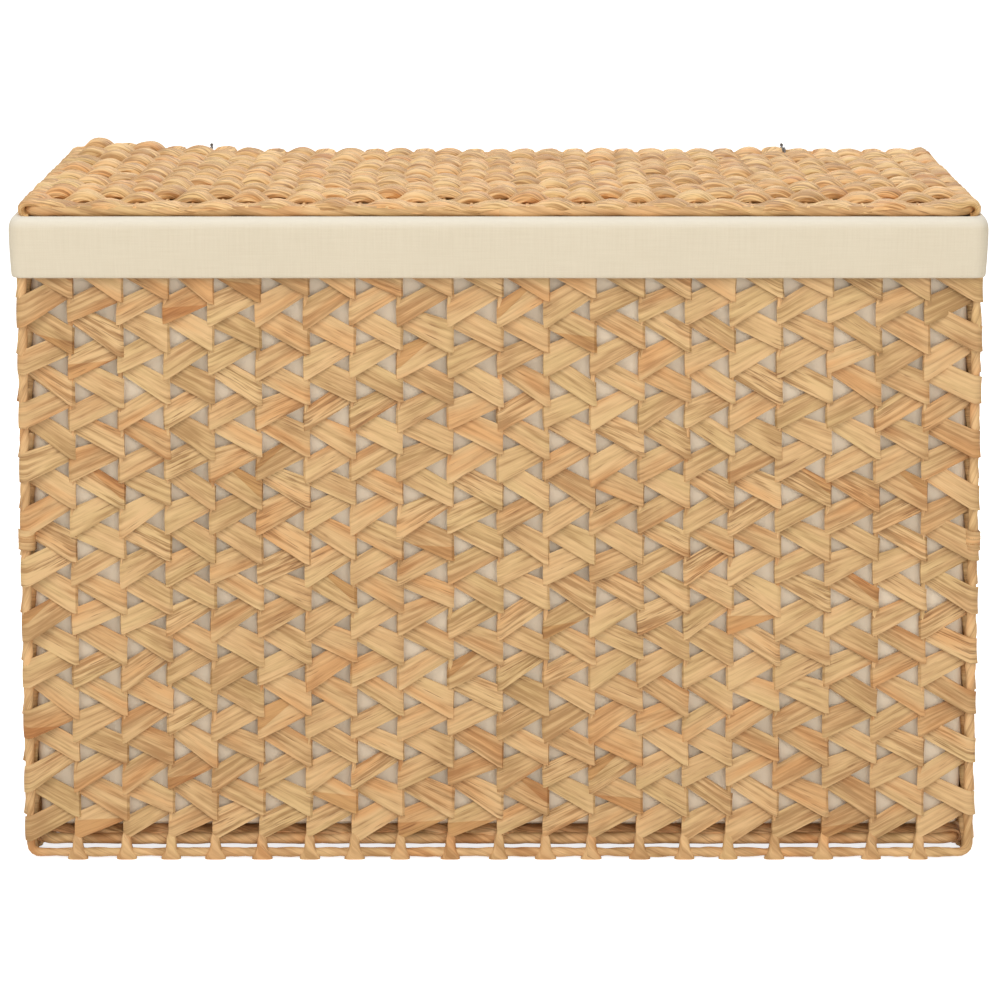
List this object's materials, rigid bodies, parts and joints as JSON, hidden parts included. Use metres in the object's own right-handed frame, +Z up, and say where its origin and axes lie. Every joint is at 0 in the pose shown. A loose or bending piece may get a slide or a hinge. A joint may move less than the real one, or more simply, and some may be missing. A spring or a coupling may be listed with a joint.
{
  "type": "laundry basket",
  "caption": "Rectangular lidded laundry basket of woven leaf strips on wrapped wire frames, with a plaited base, a cloth liner folded over the rim and a plaited lid hinged along the back.",
  "frame": {"origin": "on the floor under the middle of the basket", "axes": "+X along the width to the right seen from the front, +Y from the front to the back where the lid is hinged, +Z up"},
  "size_m": [0.759, 0.424, 0.5316],
  "materials": {
    "wrapped_frame": "steel wire wrapped in dried leaf, dry and matt",
    "leaf_strip": "flattened dried leaf strips with fibre streaks, dry satin",
    "base_strand": "darker plaited dried leaf, matt",
    "lid_strand": "plaited dried leaf, matt with a dry satin on the crests",
    "tie_wire": "dark annealed wire",
    "liner_cloth": "cream plain-weave cotton cloth"
  },
  "bodies": {
    "basket": {"front_frame": "wrapped_frame", "back_frame": "wrapped_frame", "left_frame": "wrapped_frame", "right_frame": "wrapped_frame", "front_weave": "leaf_strip", "back_weave": "leaf_strip", "left_weave": "leaf_strip", "right_weave": "leaf_strip", "front_left_tie_middle": "leaf_strip", "front_left_tie_top": "leaf_strip", "front_right_tie_middle": "leaf_strip", "front_right_tie_top": "leaf_strip", "back_left_tie_middle": "leaf_strip", "back_left_tie_top": "leaf_strip", "back_right_tie_middle": "leaf_strip", "back_right_tie_top": "leaf_strip", "base_frame": "wrapped_frame", "base_mat": "base_strand", "base_tie_front_left": "leaf_strip", "base_tie_front_right": "leaf_strip", "base_tie_back_left": "leaf_strip", "base_tie_back_right": "leaf_strip", "hinge_tie_left": "tie_wire", "hinge_tie_right": "tie_wire", "liner_floor": "liner_cloth", "liner_front": "liner_cloth", "liner_back": "liner_cloth", "liner_left": "liner_cloth", "liner_right": "liner_cloth", "cuff_front": "liner_cloth", "cuff_back": "liner_cloth", "cuff_left": "liner_cloth", "cuff_right": "liner_cloth"},
    "lid": {"lid_frame": "wrapped_frame", "lid_mat": "lid_strand"}
  },
  "joints": [
    {"name": "lid_hinge", "type": "hinge", "parent": "basket", "child": "lid", "pos_m": [0, 0.2, 0.5219], "axis": [-1, 0, 0], "range_deg": [0, 105]}
  ]
}
